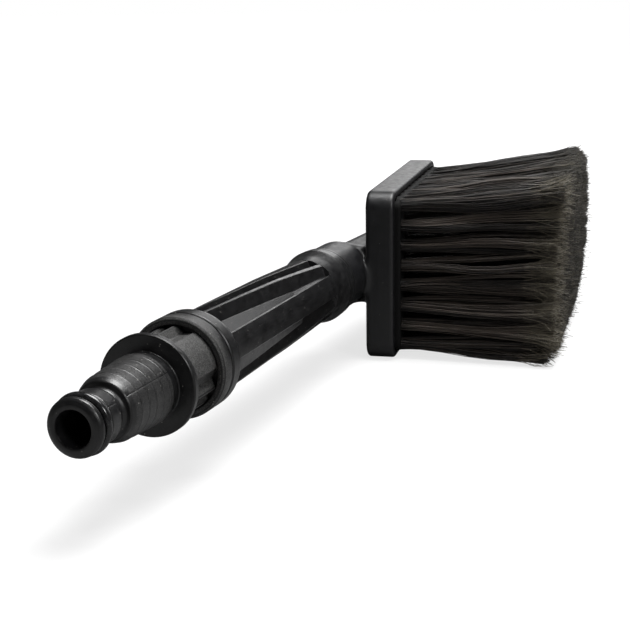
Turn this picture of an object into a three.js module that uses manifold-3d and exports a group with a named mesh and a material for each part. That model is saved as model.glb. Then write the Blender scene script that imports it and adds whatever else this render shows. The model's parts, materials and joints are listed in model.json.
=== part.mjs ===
// Flow-through wheel brush lying on its side, in millimetres, +Z up.
// The brush block is square to the axes: X runs from the hose end to the head, the bristles point to -Y.
// The handle axis leans back from the block by HANDLE_TILT, in the plane through the block's middle.
// Handle pieces are made along +X, with x measured from the mouth of the hose connector.
import * as THREE from "three";
import { mergeVertices } from "three/addons/utils/BufferGeometryUtils.js";
import Module from "manifold-3d";

// Whole brush
const GAP = 0.3; // clearance between touching pieces
const HANDLE_TILT = THREE.MathUtils.degToRad(7.2);
const HANDLE_REACH = 193.8; // mouth of the connector to the block's near end, along the handle
const HANDLE_OFFSET = 11.8; // handle axis behind the block's back at the near end
const CONNECTOR_ROLL = THREE.MathUtils.degToRad(-34); // mould plane of the connector
const GRIP_ROLL = THREE.MathUtils.degToRad(-18); // mould plane of the grip
const ROUND = 36; // sides of a large turned piece

// Hose connector
const BORE_R = 5.0;
const BORE_DEPTH = 20;
const WATERWAY_R = 3.4;
const NOSE_R = 8.05;
const LAND_R = 7.55;
const THREAD_START = 15.2;
const THREAD_END = 35.8;
const FLANGE_FRONT = 39.9;
const FLANGE_BACK = 42.4;
const FLANGE_R = 14.65;
const PAD_R = 12.5;
const PAD_END = 61.4;
const COLLAR_FRONT = 58.3;
const COLLAR_R = 15.1;
const JOINT_X = 64.2; // back face of the connector's collar
const JOINT_GAP = 0.6; // visible running gap to the grip
const SHAFT_R = 6.0; // turning shaft inside the grip
const SHAFT_END = 86.0;

// Grip
const GRIP_START = JOINT_X + JOINT_GAP;
const GRIP_R_NEAR = 13.1;
const GRIP_R_STEP = 12.6;
const GRIP_R_FAR = 11.65;
const FLUTE_START = 72.6;
const SHOULDER_END = 127.5; // where the shoulders beside the lands stop
const FLUTE_END = 163.2;
const RIB_THICK = 1.1;
const GRIP_LAND = 3.9; // half height of the broad side lands
const FAR_COLLAR_START = 164.5;
const FAR_COLLAR_END = 180.0;
const FAR_COLLAR_R = 13.2;
const SPIGOT_R = 8.0;
const SPIGOT_END = 196.0;

// Head
const NECK_START = FAR_COLLAR_END + JOINT_GAP;
const NECK_R = 12.3;
const BLOCK_LENGTH = 104;
const BLOCK_WIDTH = 63;
const BLOCK_THICK = 10.5;
const BLOCK_CORNER = 6.5;
const WALL = 2.5;
const SPINE_HALF = 10.5;
const PLATE_THICK = 7.6;
const PLATE_PROUD = 2.0;

// Bristles
const ROWS = 12;
const TUFTS = 8;
const ROW_MARGIN = 6.6;
const TUFT_PITCH = 7.5;
const TUFT_R = 2.35;
const LENGTH_NEAR = 57.5;
const LENGTH_FAR = 63.5;
const ROW_THICK = 5.0;
const FLARE_NEAR = 2.0;
const FLARE_FAR = 3.2;
const FLARE_TOP_NEAR = 3.4;
const FLARE_TOP_FAR = 4.9;

const wasm = await Module();
wasm.setup();

const plastic = (color, roughness) => new THREE.MeshStandardMaterial({ color, roughness, metalness: 0 });
const blackPlastic = plastic(0x17181a, 0.5);
const headPlastic = plastic(0x1b1c1f, 0.42);
const platePlastic = plastic(0x101112, 0.6);
const sealRubber = plastic(0x0c0c0d, 0.3);
const clipPlastic = plastic(0xd8d5cb, 0.45);
const discPlastic = plastic(0xe4e2da, 0.35);
const filament = plastic(0x2d2824, 0.85);

// A closed three.js geometry as a manifold solid, turned outside out if its faces point inwards.
function solid(geometry) {
  const bare = geometry.clone();
  bare.deleteAttribute("normal");
  bare.deleteAttribute("uv");
  const merged = mergeVertices(bare, 1e-4);
  const index = Uint32Array.from(merged.index.array);
  const made = build(merged.attributes.position.array, index);
  if (made.volume() > 0) return made;
  for (let i = 0; i < index.length; i += 3) {
    const first = index[i];
    index[i] = index[i + 1];
    index[i + 1] = first;
  }
  return build(merged.attributes.position.array, index);
}

function build(positions, triVerts) {
  return new wasm.Manifold(
    new wasm.Mesh({ numProp: 3, vertProperties: Float32Array.from(positions), triVerts }),
  );
}

function geometryOf(body) {
  const mesh = body.getMesh();
  const geometry = new THREE.BufferGeometry();
  geometry.setAttribute("position", new THREE.BufferAttribute(mesh.vertProperties, 3));
  geometry.setIndex(new THREE.BufferAttribute(mesh.triVerts, 1));
  geometry.computeVertexNormals();
  return geometry;
}

const joined = (parts) => parts.reduce((whole, part) => whole.add(part));
const cut = (body, tools) => tools.reduce((rest, tool) => rest.subtract(tool), body);

// A turned piece about the X axis, from a closed outline of [x, radius] points.
function turned(outline, sides = ROUND) {
  const points = outline.map(([x, r]) => new THREE.Vector2(r, x));
  points.push(points[0].clone());
  return new THREE.LatheGeometry(points, sides).rotateZ(-Math.PI / 2);
}

function ring(x, ringR, sectionR, sides, around) {
  return new THREE.TorusGeometry(ringR, sectionR, around, sides).rotateY(Math.PI / 2).translate(x, 0, 0);
}

function rod(x0, x1, radius, sides = 28) {
  return new THREE.CylinderGeometry(radius, radius, x1 - x0, sides)
    .rotateZ(-Math.PI / 2)
    .translate((x0 + x1) / 2, 0, 0);
}

function box(x0, x1, y0, y1, z0, z1) {
  return new THREE.BoxGeometry(x1 - x0, y1 - y0, z1 - z0)
    .translate((x0 + x1) / 2, (y0 + y1) / 2, (z0 + z1) / 2);
}

// A convex solid between two outlines with the same number of [x, y, z] points.
function hullBetween(outline0, outline1) {
  const count = outline0.length;
  const index = [];
  for (let i = 1; i < count - 1; i++) {
    index.push(0, i + 1, i);
    index.push(count, count + i, count + i + 1);
  }
  for (let i = 0; i < count; i++) {
    const next = (i + 1) % count;
    index.push(i, next, count + i);
    index.push(next, count + next, count + i);
  }
  const geometry = new THREE.BufferGeometry();
  const positions = [...outline0, ...outline1].flat();
  geometry.setAttribute("position", new THREE.Float32BufferAttribute(positions, 3));
  geometry.setIndex(index);
  return geometry;
}

// The same between two [y, z] outlines at x0 and x1.
function loft(x0, outline0, x1, outline1) {
  return hullBetween(outline0.map(([y, z]) => [x0, y, z]), outline1.map(([y, z]) => [x1, y, z]));
}

// A plate in the XZ plane, from y down to y - thick, with rounded corners and softened edges.
function plate(x0, x1, halfWidth, corner, y, thick, soften) {
  const shape = new THREE.Shape();
  const left = x0 + soften;
  const right = x1 - soften;
  const half = halfWidth - soften;
  const r = corner - soften;
  shape.moveTo(left + r, -half);
  shape.lineTo(right - r, -half);
  shape.absarc(right - r, -half + r, r, -Math.PI / 2, 0, false);
  shape.lineTo(right, half - r);
  shape.absarc(right - r, half - r, r, 0, Math.PI / 2, false);
  shape.lineTo(left + r, half);
  shape.absarc(left + r, half - r, r, Math.PI / 2, Math.PI, false);
  shape.lineTo(left, -half + r);
  shape.absarc(left + r, -half + r, r, Math.PI, 1.5 * Math.PI, false);
  const options = {
    depth: thick - 2 * soften,
    bevelEnabled: soften > 0,
    bevelThickness: soften,
    bevelSize: soften,
    bevelSegments: 3,
    curveSegments: 6,
  };
  return new THREE.ExtrudeGeometry(shape, options).rotateX(Math.PI / 2).translate(0, y - soften, 0);
}

// Mirror images of a body across the mould's two planes.
const mirrored = (body) => [body, body.mirror([0, 1, 0]), body.mirror([0, 0, 1]), body.mirror([0, 1, 0]).mirror([0, 0, 1])];

function connectorOutline() {
  const outline = [[0, 5.4], [0, 6.5], [0.45, 7.35], [1.3, 7.9], [2.2, NOSE_R], [3.35, NOSE_R]];
  outline.push([3.35, 6.0], [6.75, 6.0], [6.75, LAND_R - 0.35], [7.1, LAND_R]);
  outline.push([11.3, LAND_R], [11.8, LAND_R - 0.4], [12.1, 6.6], [14.2, 6.4], [THREAD_START, 7.0]);
  outline.push([THREAD_START, 8.0], [THREAD_START + 0.4, 8.35], [17.2, 9.05]);
  for (let crest = 0; crest < 5; crest++) {
    const x = 18.6 + crest * 3.7;
    const r = 9.4 + crest * 0.2;
    outline.push([x, r], [x + 0.5, r + 0.28]);
  }
  outline.push([THREAD_END, 10.3], [THREAD_END + 0.35, 9.6], [FLANGE_FRONT, 9.6]);
  outline.push([FLANGE_FRONT, FLANGE_R - 0.7], [FLANGE_FRONT + 0.7, FLANGE_R]);
  outline.push([FLANGE_BACK - 0.5, FLANGE_R], [FLANGE_BACK, FLANGE_R - 0.5], [FLANGE_BACK, PAD_R]);
  outline.push([PAD_END, PAD_R], [PAD_END, 13.8], [COLLAR_FRONT, 13.8], [COLLAR_FRONT, 14.6]);
  outline.push([COLLAR_FRONT + 0.5, COLLAR_R], [JOINT_X - 0.5, COLLAR_R], [JOINT_X, COLLAR_R - 0.5]);
  outline.push([JOINT_X, SHAFT_R], [66.3, SHAFT_R], [66.3, 5.1], [68.0, 5.1], [68.0, SHAFT_R]);
  for (const x of [71.5, 77.5]) {
    outline.push([x, SHAFT_R], [x, 4.5], [x + 2.6, 4.5], [x + 2.6, SHAFT_R]);
  }
  outline.push([SHAFT_END, SHAFT_R], [SHAFT_END, WATERWAY_R], [BORE_DEPTH + 4, WATERWAY_R]);
  outline.push([BORE_DEPTH, BORE_R], [0.4, BORE_R]);
  return outline;
}

// Pockets of the finger pads: between thin ribs parallel to the mould's draw, sloping down to the collar.
function padPockets() {
  const bands = [[2.6, 6.3, 11.6, 8.2], [7.1, 10.9, 10.4, 7.4]];
  const pockets = [];
  for (const [inner, outer, floorNear, floorFar] of bands) {
    const a = Math.sqrt(Math.max(floorNear ** 2 - inner ** 2, 0.1));
    const b = Math.sqrt(Math.max(floorNear ** 2 - outer ** 2, 0.1));
    const near = [[inner, a], [outer, outer > 10 ? 5.6 : b], [outer, 16], [inner, 16]];
    const far = [[inner, floorFar], [outer, outer > 10 ? 5.6 : floorFar - 1.5], [outer, 16], [inner, 16]];
    pockets.push(...mirrored(solid(loft(FLANGE_BACK + 0.1, near, PAD_END - 0.1, far))));
  }
  return pockets;
}

function connector() {
  const body = solid(turned(connectorOutline()));
  return cut(body, padPockets());
}

function gripOutline() {
  const outline = [[GRIP_START, 8.2], [GRIP_START, COLLAR_R - 0.5], [GRIP_START + 0.5, COLLAR_R]];
  outline.push([69.4, COLLAR_R], [70.6, 14.7], [71.6, GRIP_R_NEAR + 0.3], [72.4, GRIP_R_NEAR]);
  outline.push([SHOULDER_END, GRIP_R_STEP], [163.0, GRIP_R_FAR], [FAR_COLLAR_START, GRIP_R_FAR + 0.15], [168.5, 12.55], [172.5, FAR_COLLAR_R]);
  outline.push([176.8, FAR_COLLAR_R], [177.2, FAR_COLLAR_R - 0.35], [177.8, FAR_COLLAR_R - 0.35]);
  outline.push([178.2, FAR_COLLAR_R], [FAR_COLLAR_END - 0.5, FAR_COLLAR_R], [FAR_COLLAR_END, FAR_COLLAR_R - 0.5]);
  outline.push([FAR_COLLAR_END, SPIGOT_R], [187.0, SPIGOT_R], [187.0, 6.7], [189.4, 6.7], [189.4, SPIGOT_R]);
  outline.push([SPIGOT_END, SPIGOT_R], [SPIGOT_END, 3.2], [93.0, 3.2], [93.0, 6.3], [68.1, 6.3]);
  outline.push([68.1, 9.2], [66.2, 9.2], [66.2, 8.2]);
  return outline;
}

// Flutes of the grip, cut along the mould's draw. They fan out from the hose end to the head:
// a groove beside the middle ridge, a thin rib, and a channel that widens where the shoulder ends.
function gripFlutes() {
  const ridge = [0.5, 4.5];
  const ribIn = [4.5, 7.9];
  const ribOut = [ribIn[0] + RIB_THICK, ribIn[1] + RIB_THICK];
  const stepAt = (SHOULDER_END - FLUTE_START) / (FLUTE_END - FLUTE_START);
  const ribStep = THREE.MathUtils.lerp(ribOut[0], ribOut[1], stepAt);
  const top = 20;
  const band = (inner, outer, z) => [[inner, z], [outer, z], [outer, top], [inner, top]];
  const beside = (inner, z, outer) =>
    [[inner, z], [outer, 2.4], [outer, GRIP_LAND], [top, GRIP_LAND], [top, top], [inner, top]];
  const grooves = loft(FLUTE_START, band(ridge[0], ribIn[0], 9.0), FLUTE_END, band(ridge[1], ribIn[1], 7.0));
  const channel = loft(FLUTE_START, band(ribOut[0], 9.7, 6.6), SHOULDER_END, band(ribStep, 10.9, 4.6));
  const wide = loft(SHOULDER_END, beside(ribStep, 4.6, 11.5), FLUTE_END, beside(ribOut[1], 4.0, 10.5));
  return [grooves, channel, wide].flatMap((flute) => mirrored(solid(flute)));
}

function grip() {
  return cut(solid(turned(gripOutline())), gripFlutes());
}

function retainingClip() {
  const band = solid(turned([[66.55, 5.45], [67.75, 5.45], [67.75, 8.85], [66.55, 8.85]], 32));
  return cut(band, [solid(box(60, 75, -20, -2, -2.2, 2.2))]);
}

// A round disc with two opposite water ports, turned about the handle axis by roll.
function portedDisc(x0, x1, radius, roll) {
  const disc = solid(rod(x0, x1, radius, 32));
  const ports = [-1, 1].map((side) => solid(rod(x0 - 1, x1 + 1, 1.7, 14).translate(0, 3.3 * side, 0)));
  return cut(disc, ports).rotate([THREE.MathUtils.radToDeg(roll), 0, 0]);
}

const handleToHead = new THREE.Matrix4()
  .makeTranslation(
    -HANDLE_REACH * Math.cos(HANDLE_TILT) + HANDLE_OFFSET * Math.sin(HANDLE_TILT),
    HANDLE_REACH * Math.sin(HANDLE_TILT) + HANDLE_OFFSET * Math.cos(HANDLE_TILT),
    0,
  )
  .multiply(new THREE.Matrix4().makeRotationZ(-HANDLE_TILT));

// One section of the spine: flat sides standing on the block, closed by a round back.
function spineSection(x, slant, centreY, half) {
  const outline = [[x, -2, -half]];
  for (let step = 0; step <= 12; step++) {
    const angle = -Math.PI / 2 + (step * Math.PI) / 12;
    const y = centreY + half * Math.cos(angle);
    outline.push([x + slant * y, y, half * Math.sin(angle)]);
  }
  outline.push([x, -2, half]);
  return outline;
}

// The spine carries the water over the block's back and sinks into it towards the far end.
function spine() {
  const near = spineSection(3.6, 0.5, 9.4, SPINE_HALF);
  const middle = spineSection(62, 0, -0.2, SPINE_HALF);
  const far = spineSection(93, 0, -9.2, SPINE_HALF - 1.2);
  return solid(hullBetween(near, middle)).add(solid(hullBetween(middle, far)));
}

function headBody() {
  const block = solid(plate(0, BLOCK_LENGTH, BLOCK_WIDTH / 2, BLOCK_CORNER, 0, BLOCK_THICK, 1.3));
  const back = solid(box(-60, BLOCK_LENGTH, -1.2, 60, -40, 40));
  const neckEnd = HANDLE_REACH + 12;
  const neckShape = [[NECK_START, 0.2], [NECK_START, NECK_R - 0.5], [NECK_START + 0.5, NECK_R]];
  neckShape.push([neckEnd - 8, NECK_R], [neckEnd - 3, NECK_R - 1.6], [neckEnd, NECK_R - 5], [neckEnd, 0.2]);
  const core = solid(rod(NECK_START, neckEnd, 1, 12));
  const neck = solid(turned(neckShape)).add(core).transform(handleToHead.elements).intersect(back);
  const socket = solid(rod(NECK_START - 1, SPIGOT_END + GAP, SPIGOT_R + GAP, 36));
  const passage = solid(rod(SPIGOT_END - 1, HANDLE_REACH + 14, 3.2, 18));
  const drop = solid(new THREE.CylinderGeometry(3.2, 3.2, 18, 18).translate(13.5, 2, 0));
  const inside = [BLOCK_LENGTH - WALL, BLOCK_WIDTH / 2 - WALL, BLOCK_CORNER - WALL];
  const chamber = solid(plate(WALL, inside[0], inside[1], inside[2], -WALL, BLOCK_THICK, 0));
  const shell = joined([block, neck, spine().intersect(back)]);
  return cut(shell, [
    socket.transform(handleToHead.elements),
    passage.transform(handleToHead.elements),
    drop,
    chamber,
  ]);
}

function tuftPlate() {
  const edge = WALL + GAP;
  const front = BLOCK_THICK + PLATE_PROUD;
  const halfWidth = BLOCK_WIDTH / 2 - edge;
  const body = solid(
    plate(edge, BLOCK_LENGTH - edge, halfWidth, BLOCK_CORNER - edge, PLATE_THICK - front, PLATE_THICK, 0.6),
  );
  const pitch = rowX(1) - rowX(0);
  const jets = [1, 3, 5, 7, 9].map((row) =>
    solid(new THREE.CylinderGeometry(1.2, 1.2, 40, 10).translate(rowX(row) + pitch / 2, 0, 0)),
  );
  return cut(body, jets);
}

const rowX = (row) => ROW_MARGIN + (row * (BLOCK_LENGTH - 2 * ROW_MARGIN)) / (ROWS - 1);

// One row of tufts across the block: separate at the roots, merged and flared towards the tips.
function bristleRow(row) {
  const outline = [];
  const first = (-(TUFTS - 1) / 2) * TUFT_PITCH;
  for (let tuft = 0; tuft < TUFTS; tuft++) {
    const z = first + tuft * TUFT_PITCH;
    if (tuft > 0) outline.push([z - TUFT_PITCH / 2, 20]);
    outline.push([z - TUFT_R, 0], [z + TUFT_R, 0]);
  }
  const at = row / (ROWS - 1);
  const length = THREE.MathUtils.lerp(LENGTH_NEAR, LENGTH_FAR, at);
  const top = BLOCK_WIDTH / 2 + THREE.MathUtils.lerp(FLARE_TOP_NEAR, FLARE_TOP_FAR, at);
  outline.push([top, length - 6], [top - 1, length - 3], [top - 6, length]);
  outline.push([-BLOCK_WIDTH / 2 + 5, length], [-BLOCK_WIDTH / 2 + 1.8, length - 4], [-BLOCK_WIDTH / 2, length - 12]);
  const shape = new THREE.Shape(outline.map(([z, out]) => new THREE.Vector2(z, out)));
  const geometry = new THREE.ExtrudeGeometry(shape, { depth: 1, bevelEnabled: false });
  const lean = -FLARE_NEAR + at * (FLARE_NEAR + FLARE_FAR);
  const tipPitch = (BLOCK_LENGTH - 2 * ROW_MARGIN + FLARE_NEAR + FLARE_FAR) / (ROWS - 1);
  const position = geometry.attributes.position;
  for (let i = 0; i < position.count; i++) {
    const out = position.getY(i);
    const along = out / length;
    const thick = ROW_THICK + (tipPitch - 0.6 - ROW_THICK) * along;
    const x = rowX(row) + lean * along + (position.getZ(i) - 0.5) * thick;
    position.setXYZ(i, x, -BLOCK_THICK - PLATE_PROUD - GAP - out, position.getX(i));
  }
  return geometry;
}

function addMesh(group, name, geometry, material) {
  const mesh = new THREE.Mesh(geometry, material);
  mesh.name = name;
  group.add(mesh);
  return mesh;
}

function handleGroup() {
  const handle = new THREE.Group();
  handle.applyMatrix4(handleToHead);
  const inlet = new THREE.Group();
  inlet.rotation.x = CONNECTOR_ROLL;
  addMesh(inlet, "hose_connector", geometryOf(connector()), blackPlastic);
  addMesh(inlet, "nozzle_o_ring", ring(5.05, 7.38, 1.05, 28, 8), sealRubber);
  addMesh(inlet, "shaft_o_ring_front", ring(72.8, 5.5, 0.72, 24, 6), sealRubber);
  addMesh(inlet, "shaft_o_ring_rear", ring(78.8, 5.5, 0.72, 24, 6), sealRubber);
  addMesh(inlet, "valve_disc", geometryOf(portedDisc(SHAFT_END + GAP, 89.2, 5.9, 0)), discPlastic);
  const fixed = new THREE.Group();
  fixed.rotation.x = GRIP_ROLL;
  addMesh(fixed, "grip", geometryOf(grip()), blackPlastic);
  addMesh(fixed, "retaining_clip", geometryOf(retainingClip()), clipPlastic);
  const seatRoll = CONNECTOR_ROLL - GRIP_ROLL;
  addMesh(fixed, "valve_seat", geometryOf(portedDisc(89.5, 92.6, 6.0, seatRoll)), discPlastic);
  addMesh(fixed, "spigot_o_ring", ring(188.2, 7.45, 0.72, 24, 6), sealRubber);
  handle.add(inlet, fixed);
  return handle;
}

function headGroup() {
  const head = new THREE.Group();
  addMesh(head, "head_body", geometryOf(headBody()), headPlastic);
  addMesh(head, "tuft_plate", geometryOf(tuftPlate()), platePlastic);
  for (let row = 0; row < ROWS; row++) {
    const name = "bristle_row_" + String(row + 1).padStart(2, "0");
    addMesh(head, name, bristleRow(row), filament);
  }
  return head;
}

const brush = new THREE.Group();
brush.add(handleGroup(), headGroup());
brush.updateMatrixWorld(true);
const extent = new THREE.Box3().setFromObject(brush, true);
brush.position.set(-(extent.min.x + extent.max.x) / 2, -(extent.min.y + extent.max.y) / 2, -extent.min.z);

const group = new THREE.Group();
group.add(brush);

export default group;
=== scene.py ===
"""Flow-through wheel brush: the visible pieces, materials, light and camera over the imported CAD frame.

Lengths inside this script are in millimetres until a mesh is made, then metres.
Handle pieces use (x, y, z) with x along the handle from the mouth of the hose connector.
Head pieces use the block frame: x along the block from its near end, y = 0 at its back and
z = 0 at its middle.
"""

import json
import math

import bpy
import numpy as np
from mathutils import Matrix, Vector


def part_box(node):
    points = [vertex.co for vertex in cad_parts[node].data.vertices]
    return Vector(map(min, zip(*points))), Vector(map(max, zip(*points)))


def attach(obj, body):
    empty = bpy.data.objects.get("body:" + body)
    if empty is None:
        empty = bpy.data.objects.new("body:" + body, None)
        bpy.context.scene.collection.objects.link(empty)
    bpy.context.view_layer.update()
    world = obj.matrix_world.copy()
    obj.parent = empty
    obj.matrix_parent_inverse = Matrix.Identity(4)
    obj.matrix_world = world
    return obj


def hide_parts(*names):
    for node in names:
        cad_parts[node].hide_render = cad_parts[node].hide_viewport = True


MM = 0.001
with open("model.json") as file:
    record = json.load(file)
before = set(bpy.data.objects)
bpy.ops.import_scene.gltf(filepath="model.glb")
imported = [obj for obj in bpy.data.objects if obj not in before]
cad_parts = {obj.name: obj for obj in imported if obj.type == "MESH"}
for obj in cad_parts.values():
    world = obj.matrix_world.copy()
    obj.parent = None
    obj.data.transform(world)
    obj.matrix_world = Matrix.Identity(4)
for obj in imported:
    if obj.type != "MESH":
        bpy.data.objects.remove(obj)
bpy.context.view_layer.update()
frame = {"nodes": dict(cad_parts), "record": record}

# Places taken from the CAD frame
JOINT = frame["record"]["behaviour"]["joints"][0]
MOUTH = np.array(JOINT["pos_m"]) / MM
AXIS = np.array(JOINT["axis"]) / np.linalg.norm(JOINT["axis"])
SIDE = np.array([-AXIS[1], AXIS[0], 0.0])
UP = np.array([0.0, 0.0, 1.0])
PLATE_LOW, PLATE_HIGH = (np.array(corner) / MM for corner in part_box("tuft_plate"))
PLATE_EDGE = 2.8  # how far the tuft plate stands inside the block's outline
PLATE_FRONT = -12.5
BLOCK_ORIGIN = np.array(
    [PLATE_LOW[0] - PLATE_EDGE, PLATE_LOW[1] - PLATE_FRONT, (PLATE_LOW[2] + PLATE_HIGH[2]) / 2]
)
CONNECTOR_ROLL = math.radians(-34)
GRIP_ROLL = math.radians(-18)

# Head and bristles
BLOCK_LONG = 104.0
BLOCK_TALL = 63.0
BLOCK_THICK = 10.5
BLOCK_CORNER = 6.5
BLOCK_SOFTEN = 1.3
WALL = 2.5
ROWS = 12
TUFTS = 8
ROW_MARGIN = 6.6
ROW_PITCH = (BLOCK_LONG - 2 * ROW_MARGIN) / (ROWS - 1)
TUFT_PITCH = 7.5
MIDDLE_TUFT = (TUFTS - 1) / 2
TUFT_R = 2.3
POCKET_R = 2.5
POCKET_END = -10.6
STRANDS = 170


# ---------------------------------------------------------------- meshes

def add_mesh(name, points_mm, faces, material, body, replaced, attributes=None, sharp=38):
    """A mesh object from points in millimetres and an array of equal-sided faces.

    Edges turned by more than "sharp" degrees are shaded as corners; None keeps every edge smooth.
    """
    points = np.asarray(points_mm, float) * MM
    faces = np.asarray(faces, np.int32)
    count, sides = faces.shape
    mesh = bpy.data.meshes.new(name)
    mesh.vertices.add(len(points))
    mesh.vertices.foreach_set("co", points.astype(np.float32).ravel())
    mesh.loops.add(count * sides)
    mesh.loops.foreach_set("vertex_index", faces.ravel())
    mesh.polygons.add(count)
    mesh.polygons.foreach_set("loop_start", np.arange(count, dtype=np.int32) * sides)
    mesh.update(calc_edges=True)
    mesh.shade_smooth()
    if sharp:
        mesh.set_sharp_from_angle(angle=math.radians(sharp))
    for key, values in (attributes or {}).items():
        layer = mesh.attributes.new(key, "FLOAT", "POINT")
        layer.data.foreach_set("value", np.asarray(values, np.float32))
    mesh.materials.append(material)
    piece = bpy.data.objects.new(name, mesh)
    bpy.context.scene.collection.objects.link(piece)
    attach(piece, body)
    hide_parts(*replaced)
    return piece


def add_wear(piece, reach_mm=0.45):
    """Stores how each point curves as "wear": 1 on tight outer edges, 0 on flats, -1 in tight creases;
    the materials pale the outer edges as wear and paint shade into the creases.
    """
    mesh = piece.data
    count = len(mesh.vertices)
    points = np.zeros(count * 3, np.float32)
    mesh.vertices.foreach_get("co", points)
    points = points.reshape(-1, 3) / MM
    normals = np.zeros(count * 3, np.float32)
    mesh.vertex_normals.foreach_get("vector", normals)
    normals = normals.reshape(-1, 3)
    edges = np.zeros(len(mesh.edges) * 2, np.int32)
    mesh.edges.foreach_get("vertices", edges)
    a, b = edges.reshape(-1, 2).T
    span = points[a] - points[b]
    square = np.maximum((span ** 2).sum(1), 1e-4)
    total = np.zeros(count)
    number = np.zeros(count)
    np.add.at(total, a, 2 * (normals[a] * span).sum(1) / square)
    np.add.at(total, b, -2 * (normals[b] * span).sum(1) / square)
    np.add.at(number, a, 1)
    np.add.at(number, b, 1)
    curve = total / np.maximum(number, 1)
    layer = mesh.attributes.new("wear", "FLOAT", "POINT")
    layer.data.foreach_set("value", np.clip(curve * reach_mm, -1, 1).astype(np.float32))


def loft_faces(sections, around):
    """Quads of a lofted grid whose sections are closed rings and whose last section meets the first."""
    s, i = np.meshgrid(np.arange(sections), np.arange(around), indexing="ij")
    t = (s + 1) % sections
    j = (i + 1) % around
    quads = np.stack([s * around + i, s * around + j, t * around + j, t * around + i], -1)
    return quads.reshape(-1, 4)


def on_handle(x, y, z, roll):
    """Handle coordinates, rolled about the axis, to points of the model."""
    turned_y = np.cos(roll) * SIDE + np.sin(roll) * UP
    turned_z = -np.sin(roll) * SIDE + np.cos(roll) * UP
    x, y, z = (np.asarray(v, float)[..., None] for v in np.broadcast_arrays(x, y, z))
    return MOUTH + x * AXIS + y * turned_y + z * turned_z


CORNER_POINTS = 4
CORNER_SHARE = 0.3  # the most of either side that a corner's rounding may take
SUPPORT_AT = 1.5  # where the point beside a rounded corner stands, in lengths of its rounding


def rounded_line(corners):
    """An open line through (a, b, radius) corners, each rounded and supported by a point either side."""
    corners = np.asarray(corners, float)
    line = []
    for k, (a, b, radius) in enumerate(corners):
        here = np.array([a, b])
        if radius <= 0 or k in (0, len(corners) - 1):
            line.append(here)
            continue
        back = corners[k - 1, :2] - here
        ahead = corners[k + 1, :2] - here
        reach = min(radius, CORNER_SHARE * np.linalg.norm(back), CORNER_SHARE * np.linalg.norm(ahead))
        start = here + back / np.linalg.norm(back) * reach
        end = here + ahead / np.linalg.norm(ahead) * reach
        line.append(here + (start - here) * SUPPORT_AT)
        for t in np.linspace(0, 1, CORNER_POINTS):
            line.append((1 - t) ** 2 * start + 2 * t * (1 - t) * here + t ** 2 * end)
        line.append(here + (end - here) * SUPPORT_AT)
    return np.array(line)


def whole_ring(quarter):
    """Mirrors a line from +Z to +Y into a closed ring."""
    lower = quarter[::-1][1:] * (1, -1)
    opposite = quarter[1:] * (-1, -1)
    upper = quarter[::-1][1:-1] * (-1, 1)
    return np.vstack([quarter, lower, opposite, upper])


def split_counts(ring, longest):
    """How many parts each side of a closed ring is split into, so that none is longer than that."""
    sides = np.linalg.norm(np.roll(ring, -1, 0) - ring, axis=1)
    return np.maximum(np.ceil(sides / longest).astype(int), 1)


def densify(ring, counts):
    """Splits the sides of a closed ring."""
    after = np.roll(ring, -1, 0)
    parts = [a + (b - a) * np.arange(n)[:, None] / n for a, b, n in zip(ring, after, counts)]
    return np.vstack(parts)


RING_SHARE = 0.45  # how far a circle's points follow a ring's angles; the rest is even spacing


def circle_like(ring, radius):
    """A circle whose points stand near the angles of those of a clockwise ring, but never turn back."""
    angle = np.unwrap(np.arctan2(ring[:, 1], ring[:, 0]))
    even = angle[0] - np.arange(len(ring)) * 2 * math.pi / len(ring)
    angle = RING_SHARE * np.minimum.accumulate(angle) + (1 - RING_SHARE) * even
    return radius * np.stack([np.cos(angle), np.sin(angle)], 1)


ARC_POINTS = 5
BESIDE_SEAM = math.radians(1.6)


def arc_corners(radius, first_z):
    """Plain points along a circle from height first_z to just beside the parting line, and one on it."""
    angles = np.append(np.linspace(math.asin(first_z / radius), BESIDE_SEAM, ARC_POINTS), 0)
    return [(radius * math.cos(a), radius * math.sin(a), 0) for a in angles]


def loft_handle(name, stations, roll, material, body, replaced):
    """A closed handle piece from (x, ring) stations, whose last ring meets the first."""
    points = [on_handle(x, ring[:, 0], ring[:, 1], roll) for x, ring in stations]
    faces = loft_faces(len(stations), len(stations[0][1]))
    piece = add_mesh(name, np.vstack(points), faces, material, body, replaced)
    add_wear(piece)
    return piece


def smooth_outline(corners):
    """Rounds the corners of an (x, r, radius) outline, as (x, r) pairs."""
    return [tuple(p) for p in rounded_line(corners)]


# ---------------------------------------------------------------- distance fields

def smooth_min(a, b, k):
    """The smaller of two distances, blended over a width k where they meet."""
    h = np.maximum(k - np.abs(a - b), 0) / k
    return np.minimum(a, b) - h * h * k / 4


def smooth_max(a, b, k):
    """The larger of two distances, blended over a width k where they meet."""
    return -smooth_min(-a, -b, k)


def round_rect(x, z, half_x, half_z, corner):
    """Distance from a rectangle with rounded corners, centred on zero."""
    qx = np.abs(x) - half_x + corner
    qz = np.abs(z) - half_z + corner
    outside = np.hypot(np.maximum(qx, 0), np.maximum(qz, 0))
    return outside + np.minimum(np.maximum(qx, qz), 0) - corner


def slab(flat, along, half, soften):
    """A plate of an outline's distance, with softened edges."""
    a = flat + soften
    b = np.abs(along) - half + soften
    return np.hypot(np.maximum(a, 0), np.maximum(b, 0)) + np.minimum(np.maximum(a, b), 0) - soften


SLOPE_STEP = 0.02
LEAST_SLOPE_SQUARE = 0.2
SETTLE_PASSES = 3


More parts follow.
